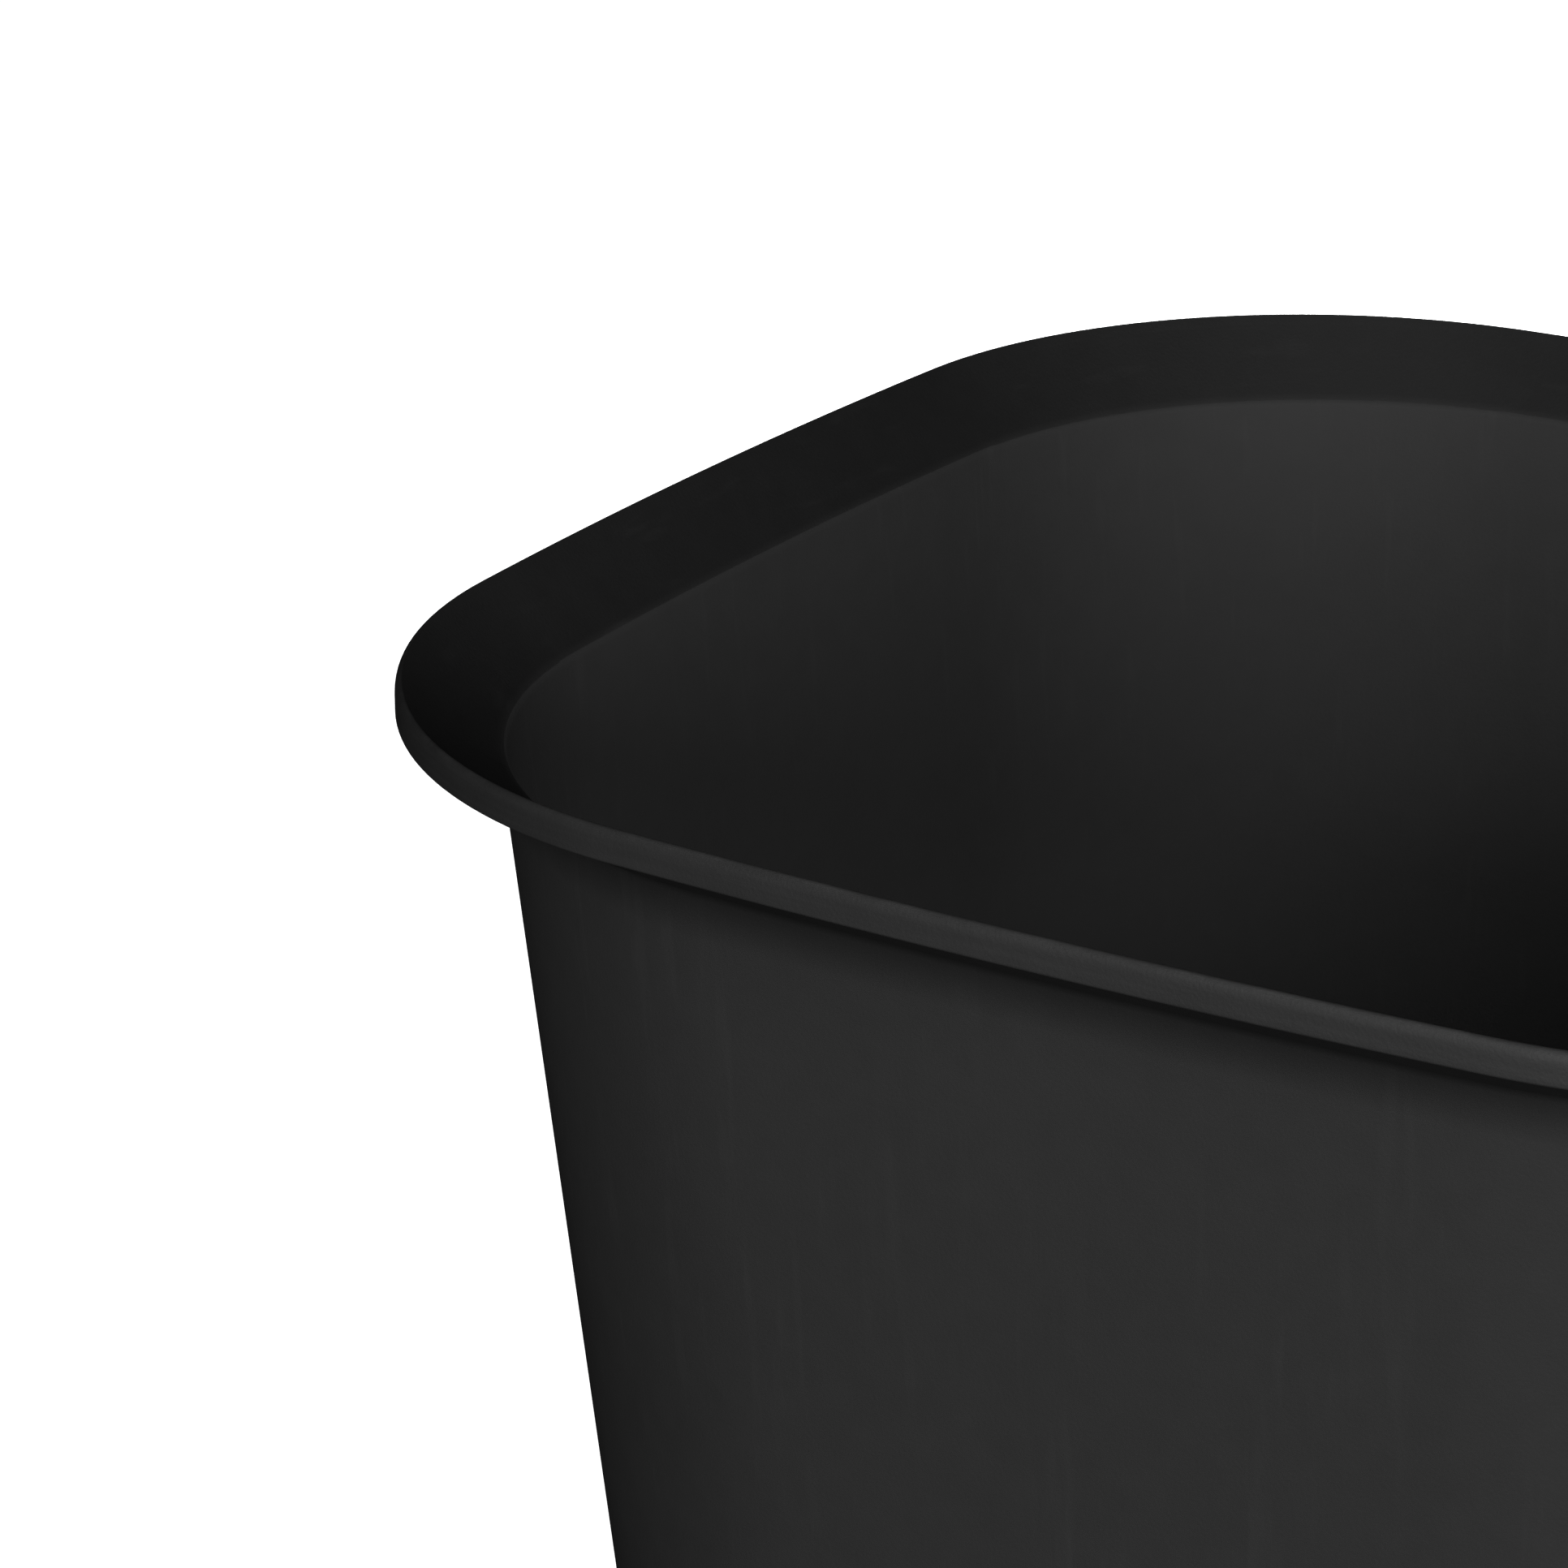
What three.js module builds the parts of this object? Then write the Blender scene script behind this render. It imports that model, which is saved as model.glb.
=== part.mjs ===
import * as THREE from 'three';

// Square florist bucket: a tapered shell moulded in one piece, with a flared collar and a
// turned-down rim. The regions of the moulding are separate solids that meet with a small gap.
// Millimetres, +Z up, origin at the centre of the bucket's footprint on the ground.
// Every ring of the bucket is a square with bowed sides and round corners, and it is given by
// its inset from the outer edge of the rim, its height and the radius of its corners.

// Driving dimensions
const RIM_WIDTH = 290;
const HEIGHT = 350;
const RIM_CORNER_RADIUS = 81.5;
const SIDE_BOW_RADIUS = 1107;
const WALL_THICKNESS = 1.8;
const WALL_DRAFT_DEGREES = 5;
const MEETING_GAP = 0.3;

// Rim lip: the edge turned down outside the collar, rounded over on its outer side up to the crest
const LIP_HEIGHT = 5.15;
const LIP_FLARE = 0.65;
const LIP_INNER_INSET = 1.8;
const LIP_EDGE = 0.4;
const ROUND_OVER_HEIGHT = 2.1;
const CREST_INSET = 0.2;

// Collar: slopes inwards and down from the crest to the crease at the top of the wall
const CREASE_INSET = 13.7;
const CREASE_DROP = 11.6;
const CREASE_CORNER_RADIUS = 74.1;
const WALL_CORNER_RADIUS = 77.2;
const HAUNCH_WIDTH = 0.7;
const HAUNCH_HEIGHT = 1.5;

// Bottom: the wall turns in through a bend to the floor, over a foot that it stands on
const FOOT_HEIGHT = 6;
const FOOT_WIDTH = 3.6;
const FOOT_DRAFT = 0.3;
const BEND_RADIUS = 9;
const FLOOR_THICKNESS = 2.2;
const FLOOR_CROWN = 2;
const GATE_RADIUS = 6;
const GATE_RECESS = 0.7;
const GATE_ROOF_SHARE = 0.8;
const CROWN_RINGS = [0.35, 0.6, 0.85, 1];

// Facets
const SIDE_STEPS = 4;
const CORNER_STEPS = 9;
const BEND_STEPS = 4;
const ROUNDING_STEPS = 4;
const RING_STEPS = 4 * (SIDE_STEPS + CORNER_STEPS);

// Worked out from the dimensions above
const HALF_RIM = RIM_WIDTH / 2;
const DRAFT = Math.tan(THREE.MathUtils.degToRad(WALL_DRAFT_DEGREES));
const CREASE_Z = HEIGHT - CREASE_DROP;
const WALL_TOP_INSET = CREASE_INSET - WALL_THICKNESS;
const COLLAR_SLOPE = CREASE_DROP / (CREASE_INSET - CREST_INSET);
const FLOOR_UNDERSIDE_Z = FOOT_HEIGHT + MEETING_GAP;
const BEND_TOP_Z = FLOOR_UNDERSIDE_Z + BEND_RADIUS;
const BEND_INSET = wallInset(BEND_TOP_Z);
const FLOOR_EDGE_INSET = BEND_INSET + BEND_RADIUS;

function wallInset(z) {
  return WALL_TOP_INSET + DRAFT * (CREASE_Z - z);
}

// A ring's corners get tighter from the rim to the crease.
function collarCorner(inset) {
  const tightening = (RIM_CORNER_RADIUS - CREASE_CORNER_RADIUS) / CREASE_INSET;
  return RIM_CORNER_RADIUS - tightening * inset;
}

function collarPoint(inset, z) {
  return { inset, z, corner: collarCorner(inset) };
}

function collarTopZ(inset) {
  return HEIGHT - COLLAR_SLOPE * (inset - CREST_INSET);
}

// The wall's inner corners are tighter than its outer ones.
function wallPoint(depthIntoWall, z) {
  const tightening = (WALL_CORNER_RADIUS - CREASE_CORNER_RADIUS) / WALL_THICKNESS;
  const corner = WALL_CORNER_RADIUS - tightening * depthIntoWall;
  return { inset: wallInset(z) + depthIntoWall, z, corner };
}

// Points below the bend are set in from its outer start.
function basePoint(inset, z) {
  return { inset, z, corner: WALL_CORNER_RADIUS - (inset - BEND_INSET) };
}

// The place of one step on the bowed, round-cornered square with the given half width.
function outlinePoint(step, halfWidth, cornerRadius, bowRadius) {
  const stepsPerSide = SIDE_STEPS + CORNER_STEPS;
  const side = Math.floor(step / stepsPerSide);
  const stepOnSide = step % stepsPerSide;
  const bowOffset = bowRadius - halfWidth;
  const reach = bowRadius - cornerRadius;
  const cornerCentre = (Math.sqrt(2 * reach * reach - bowOffset * bowOffset) - bowOffset) / 2;
  const sideAngle = Math.atan2(cornerCentre, cornerCentre + bowOffset);
  const point = new THREE.Vector2();
  if (stepOnSide < SIDE_STEPS) {
    const angle = sideAngle * (2 * stepOnSide / SIDE_STEPS - 1);
    point.set(bowRadius * Math.cos(angle) - bowOffset, bowRadius * Math.sin(angle));
  } else {
    const turn = (stepOnSide - SIDE_STEPS) / CORNER_STEPS;
    const angle = sideAngle + turn * (Math.PI / 2 - 2 * sideAngle);
    point.set(cornerCentre + cornerRadius * Math.cos(angle), cornerCentre + cornerRadius * Math.sin(angle));
  }
  return point.rotateAround(new THREE.Vector2(), side * Math.PI / 2);
}

// A lathe turns the profile through every step, then each ring takes the bucket's outline.
function ringSolid(profile) {
  const lathe = new THREE.LatheGeometry(profile.map(({ z }) => new THREE.Vector2(1, z)), RING_STEPS);
  const position = lathe.attributes.position;
  for (let index = 0; index < position.count; index++) {
    const { inset, z, corner, scale = 1 } = profile[index % profile.length];
    const step = Math.floor(index / profile.length) % RING_STEPS;
    const point = outlinePoint(step, HALF_RIM - inset, corner, SIDE_BOW_RADIUS - inset);
    position.setXYZ(index, scale * point.x, scale * point.y, z);
  }
  lathe.computeVertexNormals();
  return lathe;
}

function closedRing(points) {
  return ringSolid([...points, points[0]]);
}

// Steps along a quarter turn, from 0 to 1 in each of the two directions.
function quarterTurn(steps) {
  return Array.from({ length: steps + 1 }, (_, step) => {
    const angle = step / steps * Math.PI / 2;
    return { across: Math.sin(angle), along: 1 - Math.cos(angle) };
  });
}

function rimLip() {
  const shoulderZ = HEIGHT - ROUND_OVER_HEIGHT;
  const footZ = HEIGHT - LIP_HEIGHT;
  const roundOver = quarterTurn(ROUNDING_STEPS).map(({ across, along }) => collarPoint(
    (CREST_INSET + LIP_FLARE) * along - LIP_FLARE,
    shoulderZ + ROUND_OVER_HEIGHT * across,
  ));
  return closedRing([
    collarPoint(LIP_EDGE - LIP_FLARE, footZ),
    collarPoint(-LIP_FLARE, footZ + LIP_EDGE),
    ...roundOver,
    collarPoint(LIP_INNER_INSET, collarTopZ(LIP_INNER_INSET)),
    collarPoint(LIP_INNER_INSET, footZ + LIP_EDGE),
    collarPoint(LIP_INNER_INSET - LIP_EDGE, footZ),
  ]);
}

function flaredCollar() {
  const startInset = LIP_INNER_INSET + MEETING_GAP;
  const endZ = CREASE_Z + MEETING_GAP / 2;
  const verticalThickness = WALL_THICKNESS * Math.hypot(1, COLLAR_SLOPE);
  const startZ = collarTopZ(startInset);
  const undersideEnd = startInset + (startZ - verticalThickness - endZ) / COLLAR_SLOPE;
  return closedRing([
    collarPoint(undersideEnd, endZ),
    collarPoint(startInset, startZ - verticalThickness),
    collarPoint(startInset, startZ),
    collarPoint(CREASE_INSET, endZ),
  ]);
}

function sideWall() {
  const topZ = CREASE_Z - MEETING_GAP / 2;
  const bend = quarterTurn(BEND_STEPS);
  const inwards = (radius) => ({ across, along }) =>
    basePoint(FLOOR_EDGE_INSET - radius * (1 - along), BEND_TOP_Z - radius * across);
  const haunch = wallPoint(-HAUNCH_WIDTH, topZ);
  return closedRing([
    ...bend.map(inwards(BEND_RADIUS)).reverse(),
    wallPoint(0, topZ - HAUNCH_HEIGHT),
    haunch,
    wallPoint(WALL_THICKNESS, topZ),
    ...bend.map(inwards(BEND_RADIUS - FLOOR_THICKNESS)),
  ]);
}

function floorPanel() {
  const edge = (z) => basePoint(FLOOR_EDGE_INSET + MEETING_GAP, z);
  const crowned = (z) => (scale) => ({ ...edge(z + FLOOR_CROWN * (1 - scale * scale)), scale });
  const underside = crowned(FLOOR_UNDERSIDE_Z);
  const top = crowned(FLOOR_UNDERSIDE_Z + FLOOR_THICKNESS);
  const gateScale = GATE_RADIUS / (HALF_RIM - FLOOR_EDGE_INSET);
  const gateRoof = (scale) => ({ ...underside(0), z: underside(0).z + GATE_RECESS, scale });
  return ringSolid([
    gateRoof(0),
    gateRoof(GATE_ROOF_SHARE * gateScale),
    underside(gateScale),
    ...CROWN_RINGS.map(underside),
    ...CROWN_RINGS.map(top).reverse(),
    top(0),
  ]);
}

function footRing() {
  const outerInset = FLOOR_EDGE_INSET - FOOT_WIDTH / 3;
  const innerInset = outerInset + FOOT_WIDTH;
  return closedRing([
    basePoint(outerInset + FOOT_DRAFT, 0),
    basePoint(outerInset, FOOT_HEIGHT),
    basePoint(innerInset, FOOT_HEIGHT),
    basePoint(innerInset - FOOT_DRAFT, 0),
  ]);
}

// Every region is the same black polypropylene; the rim and the foot are rubbed a little smoother.
function blackPlastic(roughness) {
  return new THREE.MeshStandardMaterial({ color: 0x262626, roughness, metalness: 0 });
}

function named(name, geometry, material) {
  const mesh = new THREE.Mesh(geometry, material);
  mesh.name = name;
  return mesh;
}

const group = new THREE.Group();
group.add(
  named('rim_lip', rimLip(), blackPlastic(0.5)),
  named('flared_collar', flaredCollar(), blackPlastic(0.6)),
  named('side_wall', sideWall(), blackPlastic(0.6)),
  named('floor_panel', floorPanel(), blackPlastic(0.6)),
  named('foot_ring', footRing(), blackPlastic(0.55)),
);

export default group;
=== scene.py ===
import math

import bmesh
import bpy
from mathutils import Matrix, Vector


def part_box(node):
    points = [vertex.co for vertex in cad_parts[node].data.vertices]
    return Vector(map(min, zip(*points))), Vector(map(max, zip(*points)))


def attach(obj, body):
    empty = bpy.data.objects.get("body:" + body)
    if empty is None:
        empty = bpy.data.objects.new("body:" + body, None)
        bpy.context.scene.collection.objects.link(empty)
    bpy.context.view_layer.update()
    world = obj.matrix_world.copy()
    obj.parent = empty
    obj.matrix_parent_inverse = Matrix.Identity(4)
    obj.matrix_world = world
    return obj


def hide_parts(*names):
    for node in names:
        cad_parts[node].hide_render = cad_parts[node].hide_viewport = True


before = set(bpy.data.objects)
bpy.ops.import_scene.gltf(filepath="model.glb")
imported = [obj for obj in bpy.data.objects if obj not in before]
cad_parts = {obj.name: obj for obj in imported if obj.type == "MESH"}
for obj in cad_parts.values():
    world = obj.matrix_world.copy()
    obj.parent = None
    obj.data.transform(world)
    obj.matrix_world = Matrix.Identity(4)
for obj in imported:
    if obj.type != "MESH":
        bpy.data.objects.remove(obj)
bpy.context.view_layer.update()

MM = 0.001

# Sizes read from the frame, in metres
RIM_TOP_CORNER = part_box("rim_lip")[1]
HEIGHT = RIM_TOP_CORNER[2]
UNDERSIDE_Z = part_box("side_wall")[0][2]

# Sizes of the moulding as in the CAD model, in metres, and its draft in degrees
LIP_FLARE = 0.65 * MM
HALF_RIM = RIM_TOP_CORNER[0] - LIP_FLARE
RIM_CORNER = 81.5 * MM
SIDE_BOW = 1107 * MM
WALL = 1.8 * MM
DRAFT_ANGLE = 5
DRAFT = math.tan(math.radians(DRAFT_ANGLE))
LIP_HEIGHT = 5.15 * MM
LIP_INNER = 1.8 * MM
LIP_EDGE = 0.4 * MM
ROUND_OVER = 2.1 * MM
CREST_INSET = 0.2 * MM
CREASE_INSET = 13.7 * MM
CREASE_DROP = 11.6 * MM
CREASE_CORNER = 74.1 * MM
WALL_CORNER = 77.2 * MM
HAUNCH_WIDTH = 0.7 * MM
HAUNCH_HEIGHT = 1.5 * MM
BEND_RADIUS = 9 * MM
FLOOR_THICKNESS = 2.2 * MM
FLOOR_CROWN = 2 * MM
GATE_RADIUS = 6 * MM
GATE_DEPTH = 0.7 * MM
GATE_ROOF_SHARE = 0.8
FOOT_WIDTH = 3.6 * MM
FOOT_DRAFT = 0.3 * MM

# Rounds and overlaps that only the visible pieces have
CREST_RADIUS = 0.25 * MM
CREASE_ROUND = 1.8 * MM
COLLAR_OVERLAP = 0.02 * MM
FOOT_OVERLAP = 0.4 * MM

CREASE_Z = HEIGHT - CREASE_DROP
WALL_TOP_INSET = CREASE_INSET - WALL
COLLAR_SLOPE = CREASE_DROP / (CREASE_INSET - CREST_INSET)
BEND_TOP_Z = UNDERSIDE_Z + BEND_RADIUS
SLOPE_ANGLE = math.degrees(math.atan(COLLAR_SLOPE))

# Fineness of the visible surface
SIDE_STEPS = 24
CORNER_STEPS = 40
COLLAR_ROWS = 8
CREASE_HALF_STEPS = 5
HAUNCH_STEPS = 6
WALL_ROWS = 12
BEND_STEPS = 12
LIP_FACE_ROWS = 4
ROUND_OVER_STEPS = 15
SMALL_ROUND_STEPS = 6
CROWN_RINGS = [0.85, 0.7, 0.55, 0.4, 0.25]
SMOOTH_ANGLE = 32
STEPS_PER_SIDE = SIDE_STEPS + CORNER_STEPS
RING_STEPS = 4 * STEPS_PER_SIDE


# ---------------------------------------------------------------- camera

VIEW_AZIMUTH = math.radians(32.69)
VIEW_ELEVATION = math.radians(20.90)
VIEW_DISTANCE = 0.8882
RIM_RIGHT_OF_CENTRE = 0.1099
RIM_ABOVE_CENTRE = 0.0239
LENS_MM = 135.16


def make_camera():
    """The photo's view: the rim's centre lies right of the picture's centre and above it."""
    data = bpy.data.cameras.new("camera")
    camera = bpy.data.objects.new("camera", data)
    bpy.context.scene.collection.objects.link(camera)
    back = Vector((
        math.sin(VIEW_AZIMUTH) * math.cos(VIEW_ELEVATION),
        -math.cos(VIEW_AZIMUTH) * math.cos(VIEW_ELEVATION),
        math.sin(VIEW_ELEVATION),
    ))
    right = Vector((math.cos(VIEW_AZIMUTH), math.sin(VIEW_AZIMUTH), 0))
    up = back.cross(right)
    rim_centre = Vector((0, 0, HEIGHT))
    camera.location = (
        rim_centre + back * VIEW_DISTANCE - right * RIM_RIGHT_OF_CENTRE - up * RIM_ABOVE_CENTRE
    )
    camera.rotation_mode = "QUATERNION"
    camera.rotation_quaternion = (-back).to_track_quat("-Z", "Y")
    data.sensor_width = 36
    data.lens = LENS_MM
    data.clip_start = 0.01
    data.clip_end = 100
    bpy.context.scene.camera = camera


# ---------------------------------------------------------------- outline and shells


def wall_inset(z):
    """How far the wall's outer face lies inside the rim's outline."""
    return WALL_TOP_INSET + DRAFT * (CREASE_Z - z)


def collar_corner(inset):
    return RIM_CORNER - (RIM_CORNER - CREASE_CORNER) / CREASE_INSET * inset


def collar_point(inset, z):
    return inset, z, collar_corner(inset)


def collar_top_z(inset):
    return HEIGHT - COLLAR_SLOPE * (inset - CREST_INSET)


def wall_point(depth, z):
    """A section point of the wall, depth in from its outer face."""
    tightening = (WALL_CORNER - CREASE_CORNER) / WALL
    return wall_inset(z) + depth, z, WALL_CORNER - tightening * depth


BEND_INSET = wall_inset(BEND_TOP_Z)
FLOOR_EDGE_INSET = BEND_INSET + BEND_RADIUS


def base_point(inset, z):
    return inset, z, WALL_CORNER - (inset - BEND_INSET)


def outline_point(step, half, corner, bow):
    """One step round a square with bowed sides and round corners: half its width, and both radii."""
    side, on_side = divmod(step, STEPS_PER_SIDE)
    offset = bow - half
    reach = bow - corner
    centre = (math.sqrt(2 * reach * reach - offset * offset) - offset) / 2
    side_angle = math.atan2(centre, centre + offset)
    if on_side < SIDE_STEPS:
        angle = side_angle * (2 * on_side / SIDE_STEPS - 1)
        x, y = bow * math.cos(angle) - offset, bow * math.sin(angle)
    else:
        turn = (on_side - SIDE_STEPS) / CORNER_STEPS
        angle = side_angle + turn * (math.pi / 2 - 2 * side_angle)
        x, y = centre + corner * math.cos(angle), centre + corner * math.sin(angle)
    for _ in range(side):
        x, y = -y, x
    return x, y


def ring_vertices(mesh, inset, z, corner, scale=1.0):
    return [
        mesh.verts.new((scale * x, scale * y, z))
        for x, y in (
            outline_point(step, HALF_RIM - inset, corner, SIDE_BOW - inset)
            for step in range(RING_STEPS)
        )
    ]


def arc(centre, radius, start, end, steps):
    """Points (inset, z) on a round of the section, angles in degrees from the inward direction."""
    points = []
    for step in range(steps + 1):
        angle = math.radians(start + (end - start) * step / steps)
        points.append((centre[0] + radius * math.cos(angle), centre[1] + radius * math.sin(angle)))
    return points


def crease_round():
    """The eased crease, from its tangent on the collar to its tangent on the wall's inner face."""
    collar_up, wall_up = math.radians(90 - SLOPE_ANGLE), math.radians(DRAFT_ANGLE)
    share = 1 + math.cos(collar_up - wall_up)
    centre = (
        CREASE_INSET - CREASE_ROUND * (math.cos(collar_up) + math.cos(wall_up)) / share,
        CREASE_Z - CREASE_ROUND * (math.sin(collar_up) + math.sin(wall_up)) / share,
    )
    return arc(centre, CREASE_ROUND, 90 - SLOPE_ANGLE, DRAFT_ANGLE, 2 * CREASE_HALF_STEPS)


def between(first, last, steps):
    """Points strictly between two points, spaced evenly."""
    return [
        tuple(a + (b - a) * step / steps for a, b in zip(first, last))
        for step in range(1, steps)
    ]


def finish_mesh(name, mesh):
    bmesh.ops.recalc_face_normals(mesh, faces=mesh.faces[:])
    data = bpy.data.meshes.new(name)
    mesh.to_mesh(data)
    mesh.free()
    piece = bpy.data.objects.new(name, data)
    bpy.context.scene.collection.objects.link(piece)
    data.shade_smooth()
    data.set_sharp_from_angle(angle=math.radians(SMOOTH_ANGLE))
    return piece


def shell_piece(name, profile, closed=True):
    """Carries a section right round the bucket. Each point is (inset, z, corner[, scale])."""
    mesh = bmesh.new()
    rings = [ring_vertices(mesh, *point) for point in profile]
    pairs = list(zip(rings, rings[1:]))
    if closed:
        pairs.append((rings[-1], rings[0]))
    for lower, upper in pairs:
        for step in range(RING_STEPS):
            after = (step + 1) % RING_STEPS
            mesh.faces.new((lower[step], lower[after], upper[after], upper[step]))
    if not closed:
        mesh.faces.new(rings[0])
        mesh.faces.new(rings[-1])
    return finish_mesh(name, mesh)


# ---------------------------------------------------------------- materials


def new_material(name):
    material = bpy.data.materials.new(name)
    material.use_nodes = True
    return material, material.node_tree.nodes["Principled BSDF"]


def add_node(material, kind, inputs, **settings):
    """Adds a node, sets its options, and links or sets each of its inputs."""
    tree = material.node_tree
    node = tree.nodes.new(kind)
    for name, value in settings.items():
        setattr(node, name, value)
    for name, value in inputs.items():
        if isinstance(value, bpy.types.NodeSocket):
            tree.links.new(value, node.inputs[name])
        else:
            node.inputs[name].default_value = value
    return node


def math_node(material, operation, first, second):
    node = add_node(material, "ShaderNodeMath", {0: first, 1: second}, operation=operation)
    return node.outputs[0]


def ramp(material, value, low, high, out_low=0.0, out_high=1.0):
    """Maps low..high to out_low..out_high, held level outside."""
    node = add_node(
        material,
        "ShaderNodeMapRange",
        {"Value": value, "From Min": low, "From Max": high, "To Min": out_low, "To Max": out_high},
    )
    return node.outputs["Result"]


def noise(material, stretch, detail, shift=0.0):
    """Noise in the object's own coordinates, with so many features a metre along x, y and z."""
    place_at = add_node(material, "ShaderNodeTexCoord", {}).outputs["Object"]
    mapping = add_node(
        material,
        "ShaderNodeMapping",
        {"Vector": place_at, "Scale": stretch, "Location": (shift, shift, shift)},
    )
    texture = add_node(
        material,
        "ShaderNodeTexNoise",
        {"Vector": mapping.outputs["Vector"], "Scale": 1.0, "Detail": detail, "Roughness": 0.55},
    )
    return texture.outputs["Fac"]


def height_mask(material, low, high):
    """0 below the height low, 1 above the height high."""
    place_at = add_node(material, "ShaderNodeTexCoord", {}).outputs["Object"]
    height = add_node(material, "ShaderNodeSeparateXYZ", {"Vector": place_at}).outputs["Z"]
    return ramp(material, height, low, high)


def moulded_plastic(name, value, roughness, specular, marks):
    """Black moulded plastic: cloudy colour, fine grain, slight waviness, the marks of use, and the painted
    shade and painted highlight that some marks add.
    """
    material, shader = new_material(name)
    links = material.node_tree.links
    shader.inputs["Specular IOR Level"].default_value = specular
    cloud = ramp(material, noise(material, (13, 13, 13), 3.0), 0.3, 0.7)
    mottle = ramp(material, noise(material, (170, 170, 170), 3.0, 4.0), 0.3, 0.7)
    cloud_tone = ramp(material, cloud, 0, 1, 0.97, 1.03)
    mottle_tone = ramp(material, mottle, 0, 1, -0.025, 0.025)
    tone = math_node(material, "ADD", cloud_tone, mottle_tone)
    cloud_rough = ramp(material, cloud, 0, 1, -0.02, 0.02)
    mottle_rough = ramp(material, mottle, 0, 1, -0.02, 0.02)
    rough = math_node(material, "ADD", cloud_rough, mottle_rough)
    for mask, lighter, rougher in marks(material):
        tone = math_node(material, "MULTIPLY", tone, ramp(material, mask, 0, 1, 1.0, lighter))
        rough = math_node(material, "ADD", rough, ramp(material, mask, 0, 1, 0.0, rougher))
    grey = math_node(material, "MULTIPLY", tone, value)
    colour = add_node(material, "ShaderNodeCombineColor", {"Red": grey, "Green": grey, "Blue": grey})
    links.new(colour.outputs["Color"], shader.inputs["Base Color"])
    links.new(math_node(material, "ADD", rough, roughness), shader.inputs["Roughness"])
    wave = add_node(
        material,
        "ShaderNodeBump",
        {"Height": noise(material, (75, 75, 75), 1.0, 9.0), "Strength": 0.5, "Distance": 0.03 * MM},
    )
    fine = add_node(
        material,
        "ShaderNodeBump",
        {
            "Height": noise(material, (1700, 1700, 1700), 2.0, 2.0),
            "Strength": 0.6,
            "Distance": 0.07 * MM,
            "Normal": wave.outputs["Normal"],
        },
    )
    links.new(fine.outputs["Normal"], shader.inputs["Normal"])
    return material


# Greys and gloss of the same black resin, polished on the band and matt elsewhere. The band's darker grey
# is partly painted shade, and the inside's lighter grey partly painted light.
LIP_GREY = 0.0175
COLLAR_GREY = 0.016
COLLAR_GLOSS = 0.46
OUTER_GREY = 0.0245
INNER_GREY = 0.036
FOOT_GREY = 0.022


def lip_marks(material):
    """Fine streaks that run along the lip, and a crest burnished by hands and by the next bucket."""
    streaks = ramp(material, noise(material, (45, 45, 1500), 3.0, 1.0), 0.42, 0.68)
    crest = height_mask(material, HEIGHT - 1.0 * MM, HEIGHT - 0.2 * MM)
    rubbed = ramp(material, noise(material, (120, 120, 120), 4.0, 6.0), 0.45, 0.6)
    return [
        (streaks, 1.16, -0.03),
        (math_node(material, "MULTIPLY", crest, rubbed), 1.35, -0.1),
    ]


def collar_marks(material):
    """Light scuffs round the band, and a lighter strip at the crease: partly a blend into the inner grey,
    partly a painted highlight along the crease.
    """
    scuffs = ramp(material, noise(material, (60, 60, 420), 4.0, 3.0), 0.6, 0.72)
    # Painted highlight: the band is lightened in the last 1.3 mm above the crease, which also eases it into
    # the inner grey.
    crease = ramp(material, height_mask(material, CREASE_Z, CREASE_Z + 1.3 * MM), 0, 1, 1, 0)
    return [
        (scuffs, 1.12, 0.05),
        (crease, 1.5, 0.1),
    ]


def dull_edge_on(material, specular):
    """Takes the gloss off where the band is seen edge-on."""
    edge_on = add_node(material, "ShaderNodeLayerWeight", {"Blend": 0.5}).outputs["Facing"]
    shader = material.node_tree.nodes["Principled BSDF"]
    gloss = ramp(material, edge_on, 0.5, 0.8, specular, 0.0)
    material.node_tree.links.new(gloss, shader.inputs["Specular IOR Level"])


def outer_marks(material):
    """Upright rubbing marks from stacking, a painted shade band just under the lip, and a scraped bend."""
    # Painted shade: the wall is darkened just under the lip, where the lip's shadow falls.
    painted_lip_shade = height_mask(material, HEIGHT - 19.5 * MM, HEIGHT - 12 * MM)
    lines = ramp(material, noise(material, (260, 260, 5), 4.0, 5.0), 0.56, 0.7)
    patches = ramp(material, noise(material, (11, 11, 7), 2.0, 8.0), 0.45, 0.62)
    upper = height_mask(material, 0.05, 0.2)
    stacked = math_node(material, "MULTIPLY", math_node(material, "MULTIPLY", lines, patches), upper)
    bend = ramp(material, height_mask(material, UNDERSIDE_Z + 1 * MM, BEND_TOP_Z), 0, 1, 1, 0)
    scraped = ramp(material, noise(material, (210, 210, 210), 4.0, 7.0), 0.5, 0.62)
    return [
        (painted_lip_shade, 0.44, 0.0),
        (stacked, 1.16, -0.05),
        (math_node(material, "MULTIPLY", bend, scraped), 1.8, 0.1),
    ]


def inner_marks(material):
    """Fine upright scratches inside, and a dried water film low down."""
    scratches = ramp(material, noise(material, (330, 330, 9), 4.0, 5.5), 0.6, 0.72)
    film = ramp(material, height_mask(material, 0.03, 0.12), 0, 1, 1, 0)
    dried = ramp(material, noise(material, (35, 35, 12), 4.0, 2.5), 0.45, 0.65)
    return [
        (scratches, 1.08, 0.02),
        (math_node(material, "MULTIPLY", film, dried), 1.35, 0.12),
    ]


def foot_marks(material):
    """The standing face scraped pale, fading up the skirt."""
    low = ramp(material, height_mask(material, 0.1 * MM, 2.5 * MM), 0, 1, 1, 0)
    scraped = ramp(material, noise(material, (240, 240, 240), 5.0, 1.5), 0.42, 0.6)
    return [(math_node(material, "MULTIPLY", low, scraped), 2.6, 0.15)]


# ---------------------------------------------------------------- pieces


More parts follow.
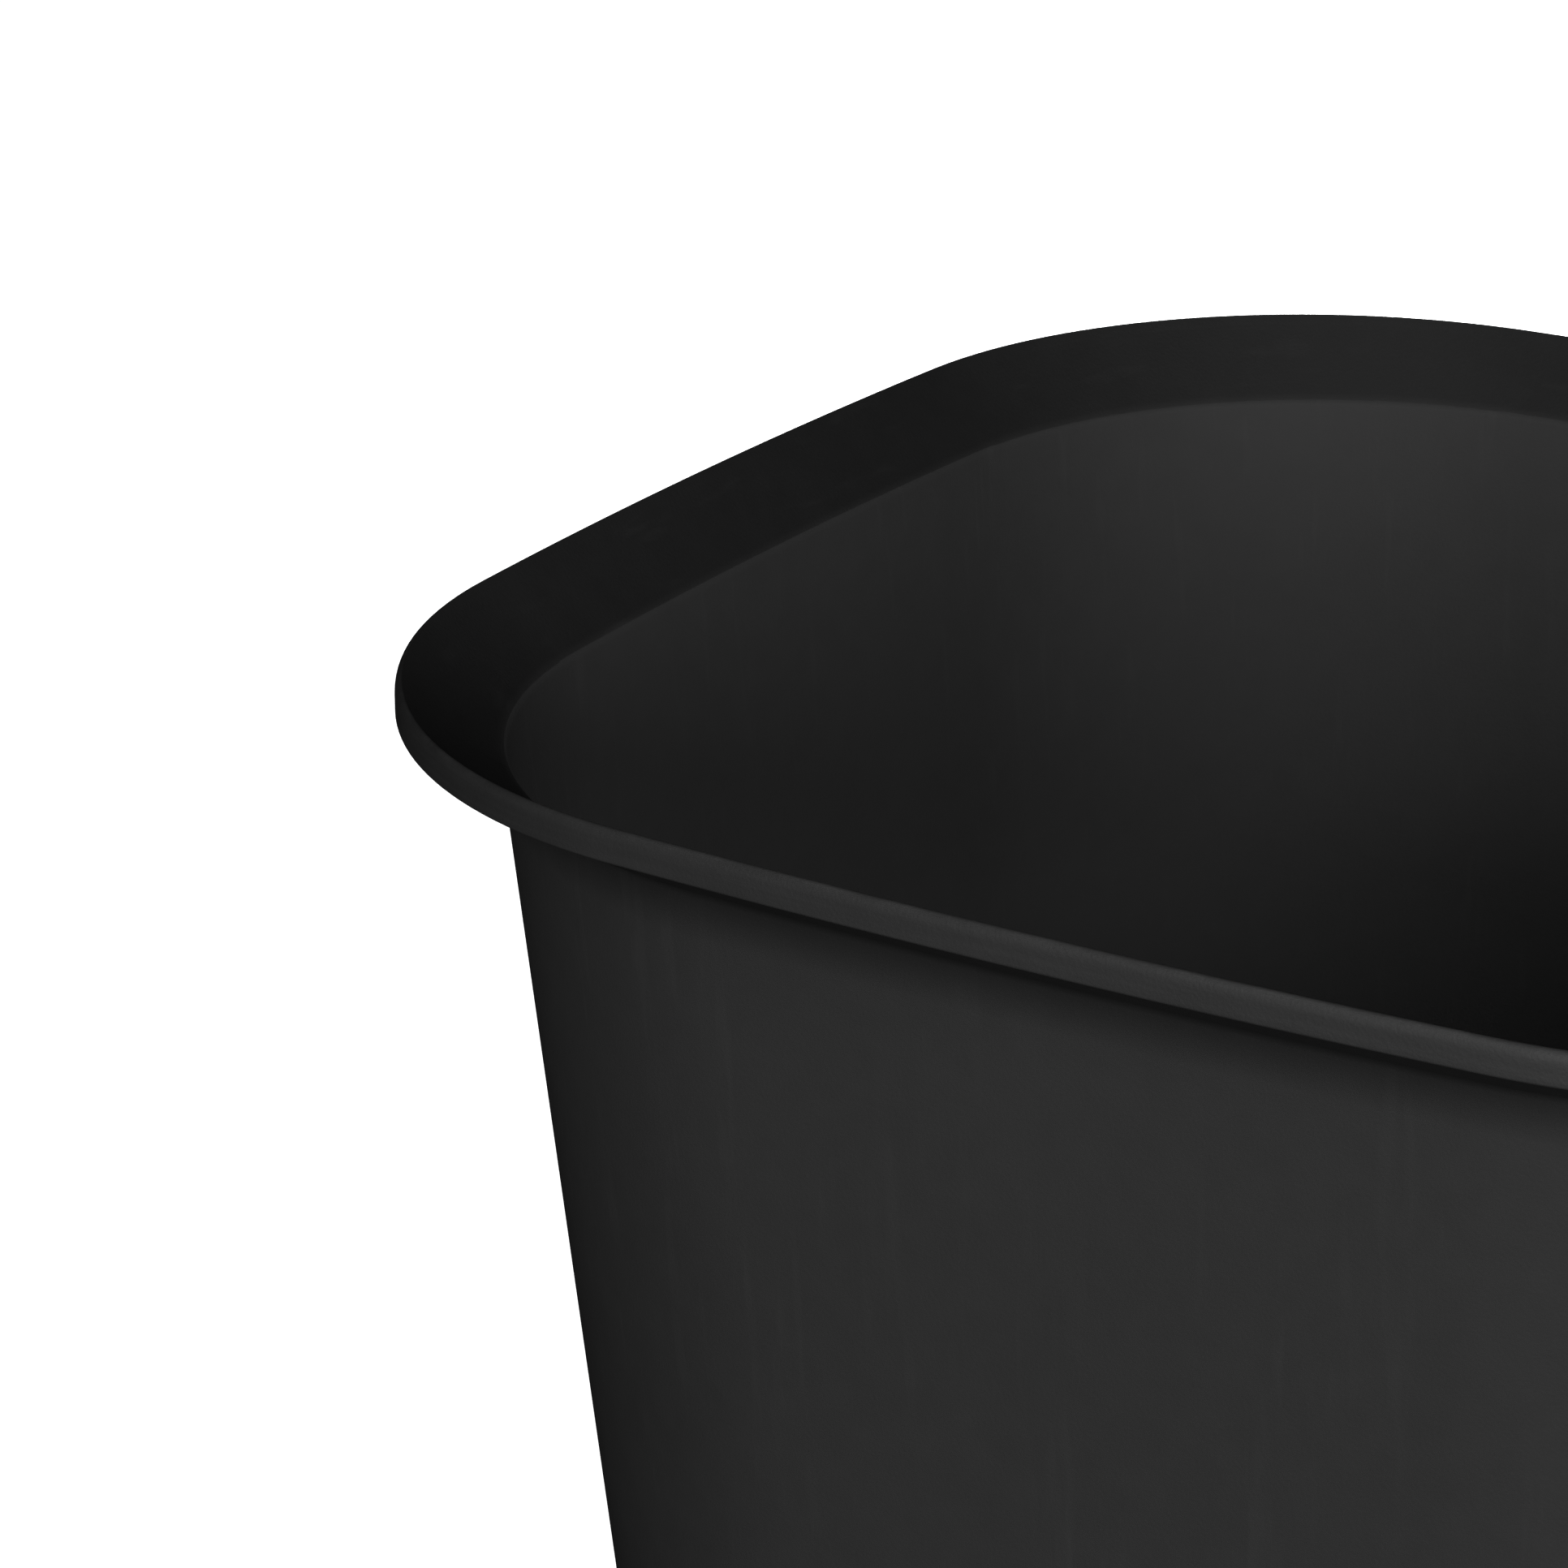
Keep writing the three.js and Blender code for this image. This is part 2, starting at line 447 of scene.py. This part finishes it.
def make_rim_lip():
    """The turned-down edge: flat outer face, rounded over to the crest, and a short way down the collar."""
    shoulder_z = HEIGHT - ROUND_OVER
    foot_z = HEIGHT - LIP_HEIGHT
    round_over = []
    for step in range(ROUND_OVER_STEPS):
        angle = math.pi / 2 * step / ROUND_OVER_STEPS
        round_over.append((
            CREST_INSET - (CREST_INSET + LIP_FLARE) * math.cos(angle),
            shoulder_z + ROUND_OVER * math.sin(angle),
        ))
    crest_centre = (CREST_INSET, HEIGHT - CREST_RADIUS)
    crest = arc(crest_centre, CREST_RADIUS, 90, 90 - SLOPE_ANGLE, SMALL_ROUND_STEPS)
    edge_z = foot_z + LIP_EDGE
    foot_outer = arc((LIP_EDGE - LIP_FLARE, edge_z), LIP_EDGE, 270, 180, SMALL_ROUND_STEPS)
    foot_inner = arc((LIP_INNER - LIP_EDGE, edge_z), LIP_EDGE, 0, -90, SMALL_ROUND_STEPS)
    face = between(foot_outer[-1], round_over[0], LIP_FACE_ROWS)
    section = foot_outer + face + round_over + crest
    section.append((LIP_INNER, collar_top_z(LIP_INNER)))
    section += foot_inner
    return shell_piece("rim_lip_edge", [collar_point(*point) for point in section])


def make_collar():
    """The sloping band. It starts just under the lip, and turns over the crease at its inner end."""
    start = LIP_INNER - COLLAR_OVERLAP
    thickness = WALL * math.hypot(1, COLLAR_SLOPE)
    start_z = collar_top_z(start)
    crease = crease_round()[:CREASE_HALF_STEPS + 1]
    seam_z = crease[-1][1]
    underside_end = start + (start_z - thickness - seam_z) / COLLAR_SLOPE
    top = [(start, start_z), *between((start, start_z), crease[0], COLLAR_ROWS), *crease]
    section = [(underside_end, seam_z), (start, start_z - thickness), *top]
    return shell_piece("flared_collar_shell", [collar_point(*point) for point in section])


def make_wall():
    """The tapered wall, with the bend at its foot that turns in to the floor."""
    bend_centre = (FLOOR_EDGE_INSET, BEND_TOP_Z)
    outer_turn = arc(bend_centre, BEND_RADIUS, 270, 180, BEND_STEPS)
    inner_turn = arc(bend_centre, BEND_RADIUS - FLOOR_THICKNESS, 180, 270, BEND_STEPS)
    crease = crease_round()[CREASE_HALF_STEPS:]
    top_z, round_end_z = crease[0][1], crease[-1][1]
    neck_z = top_z - HAUNCH_HEIGHT
    section = [base_point(*point) for point in outer_turn]
    section += [wall_point(0, z) for (z,) in between((BEND_TOP_Z,), (neck_z,), WALL_ROWS)]
    for step in range(HAUNCH_STEPS + 1):
        rise = step / HAUNCH_STEPS
        section.append(wall_point(-HAUNCH_WIDTH * rise ** 2, neck_z + HAUNCH_HEIGHT * rise))
    section += [collar_point(*point) for point in crease[:-1]]
    section += [wall_point(WALL, z) for (z,) in between((round_end_z,), (BEND_TOP_Z,), WALL_ROWS)]
    section += [base_point(*point) for point in inner_turn]
    return shell_piece("side_wall_shell", section)


def make_floor():
    """The floor, crowned towards its middle, with the dimple of the moulding gate underneath."""
    gate = GATE_RADIUS / (HALF_RIM - FLOOR_EDGE_INSET)
    inset, _, corner = base_point(FLOOR_EDGE_INSET, UNDERSIDE_Z)

    def crowned(scale, z):
        return inset, z + FLOOR_CROWN * (1 - scale * scale), corner, scale

    dimple = crowned(GATE_ROOF_SHARE * gate, UNDERSIDE_Z + GATE_DEPTH)
    underside = [crowned(scale, UNDERSIDE_Z) for scale in (gate, *reversed(CROWN_RINGS), 1)]
    top = [crowned(scale, UNDERSIDE_Z + FLOOR_THICKNESS) for scale in (1, *CROWN_RINGS, gate)]
    return shell_piece("floor_panel_plate", [dimple, *underside, *top], closed=False)


def make_foot():
    """The skirt that the bucket stands on, let slightly into the underside."""
    outer = FLOOR_EDGE_INSET - FOOT_WIDTH / 3
    inner = outer + FOOT_WIDTH
    section = [
        (outer + FOOT_DRAFT, 0),
        (outer, UNDERSIDE_Z + FOOT_OVERLAP),
        (inner, UNDERSIDE_Z + FOOT_OVERLAP),
        (inner - FOOT_DRAFT, 0),
    ]
    return shell_piece("foot_ring_skirt", [base_point(*point) for point in section])


def place(piece, node, material):
    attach(piece, "root")
    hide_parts(node)
    piece.data.materials.clear()
    piece.data.materials.append(material)


# ---------------------------------------------------------------- stage and lights


def make_stage():
    """A plain pale floor that glows almost white, and lights nothing else."""
    mesh = bmesh.new()
    bmesh.ops.create_grid(mesh, x_segments=1, y_segments=1, size=12)
    data = bpy.data.meshes.new("studio_floor")
    mesh.to_mesh(data)
    mesh.free()
    floor = bpy.data.objects.new("studio_floor", data)
    bpy.context.scene.collection.objects.link(floor)
    material, shader = new_material("pale_floor")
    shader.inputs["Base Color"].default_value = (0.8, 0.8, 0.8, 1)
    shader.inputs["Roughness"].default_value = 0.9
    shader.inputs["Emission Color"].default_value = (1, 1, 1, 1)
    shader.inputs["Emission Strength"].default_value = 0.985
    data.materials.append(material)
    floor.visible_diffuse = False
    floor.visible_glossy = False


def area_light(name, azimuth, elevation, size, power):
    data = bpy.data.lights.new(name, "AREA")
    data.shape = "DISK"
    data.size = size
    data.energy = power
    light = bpy.data.objects.new(name, data)
    turn, rise = math.radians(azimuth), math.radians(elevation)
    level = math.cos(rise)
    out = Vector((math.sin(turn) * level, -math.cos(turn) * level, math.sin(rise)))
    light.location = LIGHTS_CENTRE + out * LIGHTS_DISTANCE
    light.rotation_mode = "QUATERNION"
    light.rotation_quaternion = (-out).to_track_quat("-Z", "Y")
    bpy.context.scene.collection.objects.link(light)


def make_world():
    """White where the camera sees it, and almost no light from all round."""
    world = bpy.data.worlds.new("studio_world")
    world.use_nodes = True
    nodes, links = world.node_tree.nodes, world.node_tree.links
    background = nodes["Background"]
    background.inputs["Color"].default_value = (1, 1, 1, 1)
    background.inputs["Strength"].default_value = 0.002
    seen = nodes.new("ShaderNodeBackground")
    seen.inputs["Color"].default_value = (1, 1, 1, 1)
    seen.inputs["Strength"].default_value = 1.0
    path = nodes.new("ShaderNodeLightPath")
    mix = nodes.new("ShaderNodeMixShader")
    links.new(path.outputs["Is Camera Ray"], mix.inputs["Fac"])
    links.new(background.outputs[0], mix.inputs[1])
    links.new(seen.outputs[0], mix.inputs[2])
    links.new(mix.outputs[0], nodes["World Output"].inputs["Surface"])
    bpy.context.scene.world = world


LIGHTS_CENTRE = Vector((0, 0, 0.3))
LIGHTS_DISTANCE = 1.8

# Softboxes: name, azimuth and elevation in degrees round the centre, size in metres, power in watts.
# The two behind stay below the rim, so they reach only the outside of the bucket.
SOFTBOXES = [
    ("left_low", -4, 4, 0.35, 6.5),
    ("front_low", 32, 4, 0.35, 8),
    ("front_mid", 24, 13, 0.35, 11),
    ("right_mid", 62, 24, 0.45, 11.5),
    ("left_high", -20, 38, 0.6, 2.2),
    ("front_high", 20, 38, 0.6, 2.1),
    ("over_right", 120, 60, 0.8, 0.3),
    ("overhead", 0, 85, 1.3, 0.9),
    ("behind", 195, -4, 0.25, 16),
    ("behind_left", 211, -4, 0.25, 9),
]


def make_lights():
    for name, azimuth, elevation, size, power in SOFTBOXES:
        area_light(name, azimuth, elevation, size, power)


def split_materials(piece, material, chosen):
    """Gives another material to the faces that chosen() picks."""
    piece.data.materials.append(material)
    slot_index = len(piece.data.materials) - 1
    for face in piece.data.polygons:
        radial = Vector((face.center.x, face.center.y, 0)).normalized()
        if chosen(face.normal, radial):
            face.material_index = slot_index


def faces_inward(normal, radial):
    """The inside of the wall, and the top of the floor."""
    return normal.dot(radial) < 0 or normal.z > 0.5


def faces_down(normal, radial):
    return normal.z < 0


def over_the_crease(normal, radial):
    """The round at the crease, steeper than the band above it."""
    return 0 < normal.z < 0.74 and normal.dot(radial) < -0.3


def on_the_slope(normal, radial):
    """The part of the lip that belongs to the sloping band."""
    return normal.z > 0.5 and normal.dot(radial) < -0.3


make_camera()
lip_plastic = moulded_plastic("rim_lip_plastic", LIP_GREY, 0.55, 0.26, lip_marks)
collar_plastic = moulded_plastic("collar_plastic", COLLAR_GREY, 0.4, COLLAR_GLOSS, collar_marks)
dull_edge_on(collar_plastic, COLLAR_GLOSS)
outer_plastic = moulded_plastic("outer_plastic", OUTER_GREY, 0.6, 0.1, outer_marks)
inner_plastic = moulded_plastic("inner_plastic", INNER_GREY, 0.6, 0.05, inner_marks)
foot_plastic = moulded_plastic("foot_plastic", FOOT_GREY, 0.6, 0.2, foot_marks)
lip = make_rim_lip()
place(lip, "rim_lip", lip_plastic)
split_materials(lip, collar_plastic, on_the_slope)
collar = make_collar()
place(collar, "flared_collar", collar_plastic)
split_materials(collar, outer_plastic, faces_down)
split_materials(collar, inner_plastic, over_the_crease)
wall = make_wall()
place(wall, "side_wall", outer_plastic)
split_materials(wall, inner_plastic, faces_inward)
floor_panel = make_floor()
place(floor_panel, "floor_panel", outer_plastic)
split_materials(floor_panel, inner_plastic, faces_inward)
place(make_foot(), "foot_ring", foot_plastic)
make_stage()
make_world()
make_lights()

scene = bpy.context.scene
scene.view_settings.view_transform = "Standard"
scene.view_settings.look = "None"
